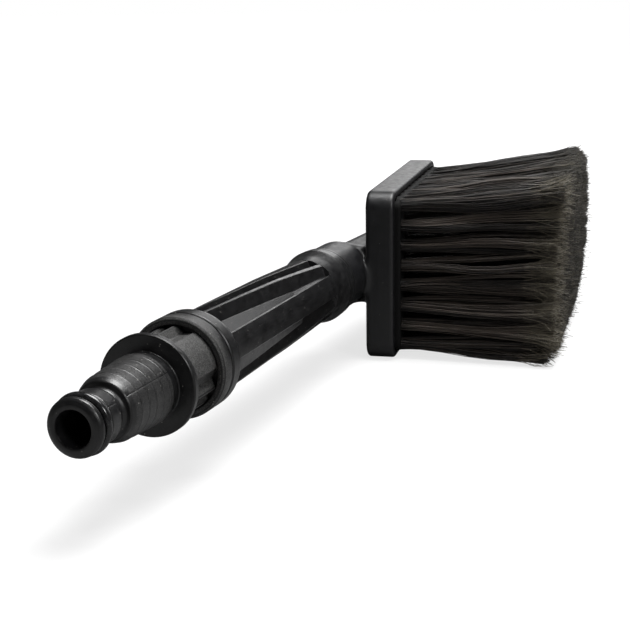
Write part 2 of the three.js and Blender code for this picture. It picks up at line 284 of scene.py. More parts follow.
def settle(points, field, step):
    """Moves points onto a field's zero surface, by at most half a step in each pass."""
    for _ in range(SETTLE_PASSES):
        here = field(*points.T)
        slope = np.stack(
            [field(*(points + SLOPE_STEP * np.eye(3)[k]).T) - here for k in range(3)], 1
        ) / SLOPE_STEP
        slope_square = np.maximum((slope ** 2).sum(1), LEAST_SLOPE_SQUARE)
        move = -(here / slope_square)[:, None] * slope
        length = np.maximum(np.linalg.norm(move, axis=1), 1e-9)
        points += move * np.minimum(1, 0.5 * step / length)[:, None]
    return points


def surface_net(field, low, high, step):
    """Points and quads of a field's zero surface: one point in each grid cell that it crosses."""
    axes = [np.arange(low[k], high[k] + step, step) for k in range(3)]
    grid = np.meshgrid(*axes, indexing="ij")
    value = field(*grid)
    inside = value < 0
    cells = np.array(value.shape) - 1
    total = np.zeros((int(np.prod(cells)), 3))
    number = np.zeros(len(total))
    crossings = []
    for axis in range(3):
        ahead = np.roll(inside, -1, axis)
        changed = inside != ahead
        index = [slice(None)] * 3
        index[axis] = -1
        changed[tuple(index)] = False
        at = np.array(np.nonzero(changed)).T
        keep = np.ones(len(at), bool)
        for other in range(3):
            if other != axis:
                keep &= (at[:, other] > 0) & (at[:, other] < cells[other])
        at = at[keep]
        step_on = np.eye(3, dtype=int)[axis]
        v0 = value[tuple(at.T)]
        v1 = value[tuple((at + step_on).T)]
        place = at + (v0 / (v0 - v1))[:, None] * step_on
        u, w = [k for k in range(3) if k != axis]
        around = []
        for du, dw in ((-1, -1), (0, -1), (0, 0), (-1, 0)):
            cell = at.copy()
            cell[:, u] += du
            cell[:, w] += dw
            flat = np.ravel_multi_index(cell.T, cells)
            np.add.at(total, flat, place)
            np.add.at(number, flat, 1)
            around.append(flat)
        quads = np.stack(around, 1)
        flip = inside[tuple(at.T)] ^ (axis == 1)
        quads[~flip] = quads[~flip][:, ::-1]
        crossings.append(quads)
    used = np.nonzero(number)[0]
    order = np.full(len(number), -1)
    order[used] = np.arange(len(used))
    points = total[used] / number[used][:, None] * step + np.array(low)
    return settle(points, field, step), order[np.vstack(crossings)]


# ---------------------------------------------------------------- materials

class Nodes:
    """Short calls for building one material's nodes."""

    def __init__(self, name):
        self.material = bpy.data.materials.new(name)
        self.material.use_nodes = True
        self.tree = self.material.node_tree
        self.shader = self.tree.nodes["Principled BSDF"]

    def add(self, kind, **settings):
        node = self.tree.nodes.new("ShaderNode" + kind)
        for key, value in settings.items():
            setattr(node, key, value)
        return node

    def link(self, source, target):
        self.tree.links.new(source, target)

    def place(self, stretch=(1, 1, 1)):
        """Object coordinates in millimetres."""
        coordinates = self.add("TexCoord")
        mapping = self.add("Mapping")
        mapping.inputs["Scale"].default_value = [1 / MM * s for s in stretch]
        self.link(coordinates.outputs["Object"], mapping.inputs["Vector"])
        return mapping.outputs["Vector"]

    def noise(self, vector, scale, detail=3, rough=0.55):
        node = self.add("TexNoise")
        node.inputs["Scale"].default_value = scale
        node.inputs["Detail"].default_value = detail
        node.inputs["Roughness"].default_value = rough
        self.link(vector, node.inputs["Vector"])
        return node.outputs["Fac"]

    def ramp(self, value, low, high, to_low=0.0, to_high=1.0):
        node = self.add("MapRange")
        node.interpolation_type = "SMOOTHSTEP"
        limits = {"From Min": low, "From Max": high, "To Min": to_low, "To Max": to_high}
        for key, number in limits.items():
            node.inputs[key].default_value = number
        self.link(value, node.inputs["Value"])
        return node.outputs["Result"]

    def math(self, operation, a, b):
        node = self.add("Math", operation=operation)
        for socket, value in zip(node.inputs, (a, b)):
            if isinstance(value, (int, float)):
                socket.default_value = value
            else:
                self.link(value, socket)
        return node.outputs[0]

    def mix(self, factor, a, b):
        node = self.add("Mix", data_type="RGBA")
        sockets = [s for s in node.inputs if s.enabled]
        for socket, value in zip(sockets, (factor, a, b)):
            if isinstance(value, tuple):
                socket.default_value = (*value, 1)
            elif isinstance(value, (int, float)):
                socket.default_value = value
            else:
                self.link(value, socket)
        return [s for s in node.outputs if s.enabled][0]

    def attribute(self, name):
        node = self.add("Attribute", attribute_name=name)
        return node.outputs["Fac"]

    def bump(self, height, strength, distance_mm):
        node = self.add("Bump")
        node.inputs["Strength"].default_value = strength
        node.inputs["Distance"].default_value = distance_mm * MM
        self.link(height, node.inputs["Height"])
        self.link(node.outputs["Normal"], self.shader.inputs["Normal"])


def moulded_plastic(name, dark, light, rough, grain=0.25, dust=0.8, wear=0.22, specular=0.5):
    """Black moulded plastic: mottling, spark-eroded grain, dust specks, paler worn edges and painted
    shade in the creases.

    The attribute "matte" is 1 where the mould is coarsely eroded, as on the finger pads.
    """
    n = Nodes(name)
    place = n.place()
    mottle = n.noise(place, 0.35, 6, 0.68)
    fine = n.noise(place, 3.1, 4, 0.65)
    matte = n.attribute("matte")
    shape = n.attribute("wear")
    blend = n.math("ADD", n.math("MULTIPLY", mottle, 0.4), n.math("MULTIPLY", fine, 0.6))
    colour = n.mix(n.ramp(blend, 0.40, 0.60), dark, light)
    coarse = n.mix(n.ramp(fine, 0.42, 0.62), (0.008, 0.008, 0.008), (0.075, 0.074, 0.072))
    colour = n.mix(matte, colour, coarse)
    worn = n.ramp(shape, 0.18, 0.9, 0.0, wear)
    chipped = n.math("MULTIPLY", worn, n.ramp(n.noise(place, 1.4, 4), 0.38, 0.62, 0.1, 1.0))
    colour = n.mix(chipped, colour, tuple(c * 4.5 + 0.02 for c in light))
    # Painted shade: points in tight creases, and the seam line, are darkened almost to black.
    colour = n.mix(n.ramp(shape, -0.40, -0.05), (0.0015, 0.0015, 0.0015), colour)
    cells = n.add("TexVoronoi", feature="F1")
    cells.inputs["Scale"].default_value = 0.62
    n.link(place, cells.inputs["Vector"])
    speck = n.ramp(cells.outputs["Distance"], 0.075, 0.125, 1.0, 0.0)
    patches = n.ramp(n.noise(place, 0.16, 3, 0.7), 0.50, 0.60, 0.0, dust)
    colour = n.mix(n.math("MULTIPLY", speck, patches), colour, (0.30, 0.29, 0.27))
    n.link(colour, n.shader.inputs["Base Color"])
    sheen = n.ramp(mottle, 0.3, 0.7, rough - 0.06, rough + 0.08)
    n.link(n.math("ADD", sheen, n.math("MULTIPLY", matte, 0.22)), n.shader.inputs["Roughness"])
    n.shader.inputs["Specular IOR Level"].default_value = specular
    erosion = n.noise(place, 4.0, 3, 0.7)
    depth = n.math("ADD", n.math("MULTIPLY", matte, 3.5), 1.0)
    relief = n.math("ADD", n.math("MULTIPLY", erosion, depth), n.math("MULTIPLY", speck, 0.4))
    n.bump(relief, grain, 0.06)
    return n.material


def seal_rubber(name):
    """Glossy black rubber with faint streaks and lint."""
    n = Nodes(name)
    place = n.place()
    streak = n.noise(n.place((0.6, 0.6, 0.6)), 1.4, 4)
    lint = n.ramp(n.noise(place, 3.4, 2), 0.66, 0.72, 0.0, 0.5)
    colour = n.mix(n.ramp(streak, 0.35, 0.65), (0.005, 0.005, 0.005), (0.016, 0.016, 0.017))
    n.link(n.mix(lint, colour, (0.10, 0.10, 0.10)), n.shader.inputs["Base Color"])
    n.link(n.ramp(streak, 0.3, 0.7, 0.12, 0.24), n.shader.inputs["Roughness"])
    n.bump(streak, 0.2, 0.05)
    return n.material


def pale_plastic(name, dark, light, rough):
    """Natural acetal of the inner pieces, slightly cloudy."""
    n = Nodes(name)
    place = n.place()
    cloud = n.noise(place, 0.8, 4)
    n.link(n.mix(n.ramp(cloud, 0.3, 0.7), dark, light), n.shader.inputs["Base Color"])
    n.link(n.ramp(cloud, 0.3, 0.7, rough - 0.05, rough + 0.08), n.shader.inputs["Roughness"])
    n.shader.inputs["Subsurface Weight"].default_value = 0.1
    n.shader.inputs["Subsurface Radius"].default_value = (0.002, 0.0018, 0.0015)
    n.bump(n.noise(place, 6, 3), 0.15, 0.04)
    return n.material


def filament(name):
    """Dark synthetic filaments, brown-grey where they are paler, with olive-brown split tips and painted
    shade towards their roots.
    """
    n = Nodes(name)
    tone = n.attribute("tone")
    along = n.attribute("along")
    grime = n.noise(n.place((1, 0.12, 1)), 0.5, 4)
    mixed = n.math("ADD", n.math("MULTIPLY", tone, 0.7), n.math("MULTIPLY", grime, 0.5))
    colour = n.mix(n.ramp(mixed, 0.25, 1.0), (0.0055, 0.0047, 0.0042), (0.092, 0.074, 0.061))
    tip = n.ramp(along, 0.70, 1.0, 0.0, 0.9)
    tip_colour = n.mix(tone, (0.018, 0.0165, 0.0115), (0.172, 0.154, 0.112))
    colour = n.mix(n.math("MULTIPLY", tip, n.ramp(tone, 0.1, 0.9, 0.35, 1.0)), colour, tip_colour)
    # Painted shade: the filaments darken towards their roots, where shade falls between the tufts.
    shade = n.ramp(along, 0.0, 0.20, 0.3, 1.0)
    dark = n.mix(shade, (0.002, 0.002, 0.002), colour)
    n.link(dark, n.shader.inputs["Base Color"])
    n.link(n.ramp(tone, 0.0, 1.0, 0.62, 0.42), n.shader.inputs["Roughness"])
    n.shader.inputs["Specular IOR Level"].default_value = 0.5
    return n.material


HANDLE_PLASTIC = moulded_plastic(
    "handle_plastic", (0.003, 0.003, 0.0033), (0.010, 0.010, 0.0105), 0.34
)
HEAD_PLASTIC = moulded_plastic(
    "head_plastic", (0.0030, 0.0030, 0.0036), (0.0055, 0.0055, 0.0065), 0.42,
    grain=0.12, dust=0.25, wear=0.0, specular=0.45,
)
# The tuft plate's black plastic, darker than the head's as painted shade on the strip between block and
# bristles
SHADED_PLATE_PLASTIC = moulded_plastic(
    "plate_plastic", (0.0015, 0.0015, 0.0015), (0.003, 0.003, 0.003), 0.75,
    grain=0.2, dust=0.0, wear=0.0, specular=0.15,
)
SEAL_RUBBER = seal_rubber("seal_rubber")
CLIP_PLASTIC = pale_plastic("clip_plastic", (0.60, 0.58, 0.52), (0.70, 0.68, 0.62), 0.45)
VALVE_PLASTIC = pale_plastic("valve_plastic", (0.70, 0.69, 0.64), (0.78, 0.77, 0.72), 0.35)
FILAMENT = filament("filament")


# ---------------------------------------------------------------- handle

NOSE_R = 8.05
LAND_R = 7.55
CRESTS = 5  # of the ribbed section
FLANGE_START = 39.9
FLANGE_END = 42.4
FLANGE_R = 14.65
PAD_R = 12.5
PAD_END = 61.4
COLLAR_R = 15.1
LONGEST_SIDE = 0.9  # of a section, once it is split


def pad_quarter(t):
    """A quarter section of the finger pads, t from 0 at the flange to 1 at the collar.

    Its ribs and pockets run along the direction the mould is drawn in.
    """
    def height(near, far):
        return near + (far - near) * t

    def on_rim(y):
        return math.sqrt(PAD_R ** 2 - y ** 2)

    edge = 0.28
    line = [(0, PAD_R, 0), (1.3, on_rim(1.3), 0), (2.6, on_rim(2.6), edge)]
    line += [(2.6, height(11.3, 8.2), edge), (6.3, height(9.74, 6.7), edge)]
    line += [(6.3, on_rim(6.3), edge), (7.1, on_rim(7.1), edge)]
    line += [(7.1, height(7.6, 7.4), edge), (10.9, 5.6, 0.2), (10.95, on_rim(10.95), edge)]
    return rounded_line(line + arc_corners(PAD_R, on_rim(11.4)))


PAD_SPLIT = split_counts(whole_ring(pad_quarter(0.5)), LONGEST_SIDE)


def pad_ring(t):
    """A whole section of the finger pads; all of them have as many points."""
    return densify(whole_ring(pad_quarter(t)), PAD_SPLIT)


def connector_outline():
    """(x, r) of the hose connector from the nose to the flange, corners rounded."""
    line = [(0.0, 5.35, 0), (0.0, 6.3, 0.5), (0.4, 7.3, 0.5), (1.0, NOSE_R - 0.15, 0.5)]
    line += [(1.8, NOSE_R, 0.5), (2.6, NOSE_R - 0.3, 0.4), (3.0, 7.2, 0.3), (3.0, 6.0, 0.2)]
    line += [(6.7, 6.0, 0.3), (6.75, LAND_R - 0.3, 0.3), (7.2, LAND_R, 0.3), (11.3, LAND_R, 0.4)]
    line += [(11.9, LAND_R - 0.45, 0.3), (12.2, 6.5, 0.4), (14.2, 6.3, 0.4), (15.1, 6.9, 0.3)]
    line += [(15.25, 8.0, 0.3), (15.6, 8.35, 0.2), (17.2, 9.05, 0.5)]
    for crest in range(CRESTS):
        x = 18.9 + crest * 3.7
        r = 9.45 + crest * 0.2
        line += [(x, r, 0.2), (x + 0.3, r + 0.10, 0.15), (x + 0.8, r + 0.04, 0.4)]
    line += [(35.9, 10.3, 0.3), (36.4, 9.75, 0.4), (38.5, 9.7, 0.4), (FLANGE_START, 9.8, 0.3)]
    line += [(FLANGE_START, FLANGE_R - 0.3, 0.25), (FLANGE_START + 0.35, FLANGE_R, 0.25)]
    line += [(FLANGE_END - 0.4, FLANGE_R, 0.3), (FLANGE_END, FLANGE_R - 0.4, 0.3)]
    line += [(FLANGE_END, PAD_R + 0.25, 0)]
    return smooth_outline(line)


def connector_back_outline():
    """(x, r) from the pads over the collar and the shaft, and back through the bore."""
    line = [(PAD_END + 0.02, PAD_R + 0.05, 0), (PAD_END, 12.72, 0), (58.6, 12.75, 0.3), (58.3, 14.3, 0.5)]
    line += [(58.9, COLLAR_R, 0.4), (63.7, COLLAR_R, 0.4), (64.2, 14.6, 0.3), (64.2, 6.0, 0.2)]
    line += [(66.3, 6.0, 0), (66.3, 5.1, 0), (68.0, 5.1, 0), (68.0, 6.0, 0)]
    for x in (71.5, 77.5):
        line += [(x, 6.0, 0), (x, 4.5, 0), (x + 2.6, 4.5, 0), (x + 2.6, 6.0, 0)]
    line += [(86.0, 6.0, 0.2), (86.0, 3.4, 0.2), (24.0, 3.4, 0.3), (20.0, 5.0, 0.4), (0.5, 5.0, 0.3)]
    line += [(0.1, 5.15, 0)]
    return smooth_outline(line)


SEAM_DEPTH = 0.09
SEAM_END = 36
# A crease value for the seam's points, which paints shade along the parting line
SEAM_SHADE = -0.6
BESIDE_SEAM_WEAR = 0.1


def at_seam(ring):
    """Which points of a ring lie on the mould's parting line, at its two ends along Y."""
    return np.abs(ring[:, 1]) < 1e-6


def seamed(ring, depth):
    """Presses the parting line into a ring."""
    ring = ring.copy()
    on_line = at_seam(ring)
    ring[on_line] *= 1 - depth / np.abs(ring[on_line, :1])
    return ring


def connector_seam_depth(x):
    """The parting line shows on the land and on the ribbed section."""
    return SEAM_DEPTH if 15.5 < x < SEAM_END or 7.0 < x < 11.5 else 0.0


def connector_matte_and_highlight(x):
    """How coarsely the mould is eroded: fully on the finger pads, slightly on the ribbed section. On the
    ribbed section the paler eroded colour is partly real grain and partly a painted highlight.
    """
    if FLANGE_END + 0.3 < x < PAD_END - 0.3:
        return 1.0
    # The ribbed section's share pales its colour: partly eroded grain, partly painted highlight.
    return 0.35 if 17 < x < SEAM_END else 0.0


def set_attribute(piece, name, values):
    """Stores a value for each point, under a new or an existing name."""
    layer = piece.data.attributes.get(name) or piece.data.attributes.new(name, "FLOAT", "POINT")
    layer.data.foreach_set("value", np.asarray(values, np.float32))


def connector_stations():
    """(x, ring) sections of the connector: over the outside and the shaft, then back through the bore."""
    reference = pad_ring(0.5)
    stations = []
    for x, r in connector_outline():
        stations.append((x, seamed(circle_like(reference, r), connector_seam_depth(x))))
    stations.append((FLANGE_END + 0.06, circle_like(reference, PAD_R + 0.08)))
    first = pad_ring(0)
    bridge = circle_like(reference, PAD_R)
    for blend in (0.35, 0.8, 1.0):
        stations.append((FLANGE_END + 0.10 + 0.22 * blend, bridge + (first - bridge) * blend))
    for t in np.linspace(0.04, 0.96, 10):
        stations.append((FLANGE_END + t * (PAD_END - FLANGE_END), pad_ring(t)))
    last = pad_ring(1)
    for blend in (1.0, 0.8, 0.35, 0.0):
        stations.append((PAD_END - 0.02 - 0.2 * blend, bridge + (last - bridge) * blend))
    return stations + [(x, circle_like(reference, r)) for x, r in connector_back_outline()]


def make_connector():
    """The hose connector, with coarser grain on its pads and a line of painted shade along its seam."""
    stations = connector_stations()
    shell = loft_handle(
        "connector_shell", stations, CONNECTOR_ROLL, HANDLE_PLASTIC, "inlet", ["hose_connector"]
    )
    matte = [connector_matte_and_highlight(x) for x, _ in stations]
    set_attribute(shell, "matte", np.repeat(matte, len(stations[0][1])))
    wear = np.zeros(len(shell.data.vertices), np.float32)
    shell.data.attributes["wear"].data.foreach_get("value", wear)
    seam = np.concatenate([at_seam(ring) & (7.0 < x < SEAM_END) for x, ring in stations])
    beside = np.roll(seam, 1) | np.roll(seam, -1)
    wear[beside] = BESIDE_SEAM_WEAR
    # Painted shade: the seam's points are given a crease value, so the material darkens the parting line.
    wear[seam] = SEAM_SHADE
    set_attribute(shell, "wear", wear)


FLUTE_START = 72.5
SHOULDER_END = 127.5
FLUTE_END = 163.2
LAND_HALF = 3.9
GRIP_SEAM_DEPTH = 0.06


def grip_radius(x):
    """The grip's outer radius, which tapers and then widens again before the far collar."""
    return float(np.interp(x, [72.4, SHOULDER_END, 163.0, 164.5], [13.1, 12.6, 11.65, 11.8]))


def grip_quarter(x, shouldered):
    """A quarter section of the grip: middle ridge, groove, thin rib, channel, any shoulder, side land."""
    radius = grip_radius(x)

    def on_rim(y):
        return math.sqrt(radius ** 2 - y ** 2)

    span = [FLUTE_START, FLUTE_END]
    ridge = np.interp(x, span, [0.5, 4.5])
    rib_in = np.interp(x, span, [4.5, 7.9])
    rib_out = rib_in + 1.1
    groove = np.interp(x, span, [9.0, 7.0])
    line = [(0, radius, 0), (ridge * 0.5, on_rim(ridge * 0.5), 0), (ridge, on_rim(ridge), 0.3)]
    line += [(ridge, groove, 0.3), (rib_in, groove, 0.3), (rib_in, on_rim(rib_in), 0.3)]
    line += [(rib_out, on_rim(rib_out), 0.3)]
    land_y = on_rim(LAND_HALF)
    if shouldered:
        floor = np.interp(x, [FLUTE_START, SHOULDER_END], [6.6, 4.6])
        edge = np.interp(x, [FLUTE_START, SHOULDER_END], [9.7, 10.9])
        low = radius - 0.4
        line += [(rib_out, floor, 0.3), (edge, floor, 0.3)]
        line += [(edge, math.sqrt(low ** 2 - edge ** 2), 0.35)]
        line += [(land_y - 0.35, LAND_HALF + 0.15, 0.25)]
    else:
        floor = np.interp(x, [SHOULDER_END, FLUTE_END], [4.6, 4.0])
        wall = np.interp(x, [SHOULDER_END, FLUTE_END], [11.5, 10.5])
        line += [(rib_out, floor, 0.3), (wall - 0.3, 2.5, 0.3), (wall, 3.4, 0.3)]
        line += [(wall + 0.1, LAND_HALF - 0.02, 0.2)]
    line += [(land_y, LAND_HALF, 0.25)]
    return rounded_line(line + arc_corners(radius, LAND_HALF - 0.35))


MIDDLE_OF_GRIP = 100
GRIP_SPLIT = split_counts(whole_ring(grip_quarter(MIDDLE_OF_GRIP, True)), LONGEST_SIDE)


def grip_ring(x, shouldered):
    """A whole section of the fluted grip, with its parting line."""
    return seamed(densify(whole_ring(grip_quarter(x, shouldered)), GRIP_SPLIT), GRIP_SEAM_DEPTH)


def grip_stations():
    """(x, ring) sections of the grip: over the outside to the spigot, then back through the bore."""
    reference = grip_ring(MIDDLE_OF_GRIP, True)
    head = [(64.8, 8.2, 0), (64.8, 14.6, 0.3), (65.3, COLLAR_R, 0.4), (69.3, COLLAR_R, 0.6)]
    head += [(70.6, 14.7, 0.6), (71.5, 13.5, 0.5), (72.2, 13.12, 0.3), (72.45, 13.1, 0)]
    stations = [(x, circle_like(reference, r)) for x, r in smooth_outline(head)]
    for x in np.concatenate([[FLUTE_START + 0.35], np.linspace(74, SHOULDER_END - 0.15, 28)]):
        stations.append((x, grip_ring(x, True)))
    for x in np.concatenate([[SHOULDER_END + 0.15], np.linspace(129, FLUTE_END - 0.35, 20)]):
        stations.append((x, grip_ring(x, False)))
    tail = [(FLUTE_END, 11.66, 0), (164.6, 11.8, 0.5), (168.6, 12.15, 1.2), (172.2, 13.0, 0.5)]
    tail += [(172.9, 13.25, 0.3), (176.6, 13.15, 0.8), (177.6, 12.9, 0.5), (178.4, 13.0, 0.4)]
    tail += [(179.4, 13.0, 0.4)]
    tail += [(180.0, 12.6, 0.3), (180.0, 8.0, 0.2), (187.0, 8.0, 0), (187.0, 6.7, 0), (189.4, 6.7, 0)]
    tail += [(189.4, 8.0, 0), (196.0, 8.0, 0.3), (196.0, 3.2, 0), (93.0, 3.2, 0), (93.0, 6.3, 0)]
    tail += [(68.1, 6.3, 0), (68.1, 9.2, 0), (66.2, 9.2, 0), (66.2, 8.2, 0)]
    return stations + [(x, circle_like(reference, r)) for x, r in smooth_outline(tail)]


def make_grip():
    """The grip, from the collar at the gap to the spigot in the head."""
    loft_handle("grip_shell", grip_stations(), GRIP_ROLL, HANDLE_PLASTIC, "brush", ["grip"])


SEAL_X = 4.75
SEAL_R = 7.3
SEAL_HALF_TALL = 1.18
SEAL_HALF_LONG = 1.15


def make_seal():
    """The nose's sealing ring, whose section is very slightly taller than it is long."""
    around = np.linspace(0, 2 * math.pi, 96, endpoint=False)
    stations = []
    for turn in np.linspace(0, 2 * math.pi, 28, endpoint=False):
        radius = SEAL_R + SEAL_HALF_TALL * math.sin(turn)
        ring = radius * np.stack([np.cos(-around), np.sin(-around)], 1)
        stations.append((SEAL_X - SEAL_HALF_LONG * math.cos(turn), ring))
    loft_handle("nozzle_seal", stations, 0, SEAL_RUBBER, "inlet", ["nozzle_o_ring"])


# ---------------------------------------------------------------- head

def block_to_handle(x, y, z):
    """Block coordinates to distance along the handle and distance from its axis."""
    origin = MOUTH - BLOCK_ORIGIN
    px, py, pz = x - origin[0], y - origin[1], z - origin[2]
    along = px * AXIS[0] + py * AXIS[1]
    across = px * SIDE[0] + py * SIDE[1]
    return along, np.hypot(across, pz)


SPINE_START = 3.6
SPINE_END = 100
SPINE_SLANT = 0.5
SPINE_SLANT_LENGTH = 1.118  # of the vector (1, SPINE_SLANT)
NECK_START = 180.6
NECK_END = 205.8
NECK_LIP = 0.5
SOCKET_R = 8.3
SOCKET_START = 179.0
SOCKET_END = 196.3


def spine_field(x, y, z):
    """The rounded ridge on the block's back, which sinks into it towards the far end."""
    centre = np.interp(x, [SPINE_START, 62, 93, BLOCK_LONG], [9.4, -0.2, -9.2, -12.4])
    half = np.interp(x, [62, 93], [10.5, 9.3])
    ridge = np.hypot(np.maximum(y - centre, 0), z) - half
    near_end = (SPINE_START + SPINE_SLANT * y - x) / SPINE_SLANT_LENGTH
    spine = smooth_max(np.maximum(ridge, -4 - y), near_end, 1.0)
    return np.maximum(spine, x - SPINE_END)


def neck_field(y, along, radius):
    """The round neck that holds the grip's spigot, rounded at its open end."""
    neck_r = np.interp(along, [197.8, 202.8, NECK_END], [12.3, 10.7, 7.3])
    side = radius - neck_r
    start = NECK_START - along
    lip = np.hypot(np.maximum(side + NECK_LIP, 0), np.maximum(start + NECK_LIP, 0))
    neck = lip + np.minimum(np.maximum(side, start) + NECK_LIP, 0) - NECK_LIP
    return np.maximum(np.maximum(neck, along - NECK_END), -3 - y)


def head_field(x, y, z):
    """The block, spine and neck in one, less the spigot's socket and the chamber."""
    outline = round_rect(x - BLOCK_LONG / 2, z, BLOCK_LONG / 2, BLOCK_TALL / 2, BLOCK_CORNER)
    block = slab(outline, y + BLOCK_THICK / 2, BLOCK_THICK / 2, BLOCK_SOFTEN)
    along, radius = block_to_handle(x, y, z)
    shell = smooth_min(block, spine_field(x, y, z), 1.6)
    shell = smooth_min(shell, neck_field(y, along, radius), 2.6)
    socket = np.maximum(radius - SOCKET_R, np.maximum(SOCKET_START - along, along - SOCKET_END))
    inner = round_rect(
        x - BLOCK_LONG / 2, z, BLOCK_LONG / 2 - WALL, BLOCK_TALL / 2 - WALL, BLOCK_CORNER - WALL
    )
    chamber = np.maximum(inner, y + WALL)
    return np.maximum(np.maximum(shell, -socket), -chamber)


def plate_field(x, y, z):
    """The tuft plate, with a pocket in line with each tuft that opens to the plate's hidden back."""
    half_long = BLOCK_LONG / 2 - PLATE_EDGE
    half_tall = BLOCK_TALL / 2 - PLATE_EDGE
    flat = round_rect(x - BLOCK_LONG / 2, z, half_long, half_tall, BLOCK_CORNER - PLATE_EDGE)
    body = slab(flat, y + 8.7, 3.8, 0.6)
    row = np.clip(np.round((x - ROW_MARGIN) / ROW_PITCH), 0, ROWS - 1)
    tuft = np.clip(np.round(z / TUFT_PITCH + MIDDLE_TUFT), 0, TUFTS - 1)
    from_row = x - ROW_MARGIN - row * ROW_PITCH
    round_wall = np.hypot(from_row, z - (tuft - MIDDLE_TUFT) * TUFT_PITCH) - POCKET_R
    return smooth_max(body, -np.maximum(round_wall, POCKET_END - y), 0.5)


def add_field_piece(name, field, low, high, step, material, replaced):
    """A piece of the head from its field, meshed between two corners in block coordinates."""
    points, quads = surface_net(field, low, high, step)
    piece = add_mesh(name, points + BLOCK_ORIGIN, quads, material, "brush", replaced)
    add_wear(piece, 0.8)


def make_head():
    """The head and the tuft plate."""
    low, high = (-15.1, -11.6, -32.6), (105.4, 27.6, 32.6)
    step = 0.5
    add_field_piece("head_shell", head_field, low, high, step, HEAD_PLASTIC, ["head_body"])
    low, high = (1.9, -13.4, -29.6), (102.3, -4.2, 29.6)
    step = 0.55
    add_field_piece("tuft_base", plate_field, low, high, step, SHADED_PLATE_PLASTIC, ["tuft_plate"])


# ---------------------------------------------------------------- bristles

FIRST_SEED = 7100
LOCKS = 6  # in each tuft
DRIFT = 0.75
STRAY_SHARE = 0.42
PALE_SHARE = 0.07
KNOT_AT = np.concatenate([np.linspace(0, 0.8, 6), [0.9, 1.0]])
FILAMENT_R = 0.15
FIBRES = 2  # that each filament splits into
FIBRE_KNOTS = 5
FIBRE_R = 0.085
ROOT_Y = -11.2
LOWEST_TIP = -30.9
HIGHEST_TIP = 37.2
NEAREST_TIP = -1.8
FARTHEST_TIP = 106.2
LOWEST_FIBRE = -31.2


def tip_length(row_at, z):
    """How far filaments reach, from the plate, by row (0 near to 1 far) and height of the tip."""
    near = 57.9 + 0.0020 * (z + 4) ** 2
    far = 65.0 - 0.0024 * (z - 12) ** 2
    length = near + (far - near) * row_at ** 0.8
    length -= 0.10 * np.maximum(z - 31, 0) ** 2 * row_at
    return length - 0.30 * np.maximum(-26.5 - z, 0) ** 2


def soft_limit(value, limit, softness, keep_above):
    """Bends values that pass a limit back along it."""
    sign = 1 if keep_above else -1
    return limit + sign * softness * np.logaddexp(0, sign * (value - limit) / softness)


def tube_rings(path, radius, turn):
    """Three-sided tubes round many paths at once: path (n, k, 3), radius (n, k)."""
    ahead = np.gradient(path, axis=1)
    ahead /= np.linalg.norm(ahead, axis=2, keepdims=True)
    side = np.cross(ahead, np.array([0.0, 0.0, 1.0]))
    side /= np.maximum(np.linalg.norm(side, axis=2, keepdims=True), 1e-6)
    other = np.cross(ahead, side)
    rings = []
    for k in range(3):
        angle = turn[:, None, None] + k * 2 * math.pi / 3
        rings.append(path + radius[..., None] * (side * np.cos(angle) + other * np.sin(angle)))
    return np.stack(rings, 2)


def tube_mesh(rings):
    """Points and quads of tubes from rings (n, k, 3, 3)."""
    count, length = rings.shape[:2]
    start = np.arange(count)[:, None, None] * length * 3
    k = np.arange(length - 1)[None, :, None] * 3
    i = np.arange(3)[None, None, :]
    j = (i + 1) % 3
    a = start + k + i
    b = start + k + j
    quads = np.stack([a, b, b + 3, a + 3], -1).reshape(-1, 4)
    return rings.reshape(-1, 3), quads


def gather_locks(rng, tuft, local):
    """Filaments gather into locks, so a tuft opens in a few wisps and not evenly.

    Gives each filament's lock, and that lock's middle, shift and tone.
    """
    lock_at = rng.uniform(-0.75, 0.75, (TUFTS, LOCKS, 2))
    distance = np.linalg.norm(local[:, None] - lock_at[tuft], axis=2)
    lock = distance.argmin(1)
    shift = rng.normal(0, DRIFT, (TUFTS, LOCKS, 2))[tuft, lock]
    tone = rng.uniform(0, 1, (TUFTS, LOCKS))[tuft, lock]
    return lock, lock_at[tuft, lock], shift, tone


def place_tips(rng, at, row_x, tuft_z, tuft, local, lock_middle, lock_shift):
    """X and z of the filaments' tips: a row leans, its tufts fan out and open, and filaments stray."""
    lean = -2.0 + 5.2 * at
    tuft_shift = rng.normal(0, DRIFT, (TUFTS, 2))[tuft]
    fan_top = 4.2 + 2.6 * at
    side = np.clip(tuft_z / (MIDDLE_TUFT * TUFT_PITCH), -1, 1)
    fan = np.where(side > 0, np.abs(side) ** 1.2 * fan_top, side * 1.7) + 0.8
    stray = (rng.random(len(tuft)) < STRAY_SHARE)[:, None]
    spread = np.where(stray, local * 5.4, lock_middle * 5.2 + (local - lock_middle) * 2.4)
    tip_x = row_x + lean + tuft_shift[:, 0] + lock_shift[:, 0] + spread[:, 0]
    tip_z = tuft_z + fan + tuft_shift[:, 1] + lock_shift[:, 1] + spread[:, 1]
    tip_z = soft_limit(tip_z, LOWEST_TIP, 0.5, True)
    tip_z = soft_limit(tip_z, HIGHEST_TIP - 1.4 * (1 - at), 0.6, False)
    tip_x = soft_limit(soft_limit(tip_x, NEAREST_TIP, 0.6, True), FARTHEST_TIP, 0.6, False)
    return tip_x, tip_z


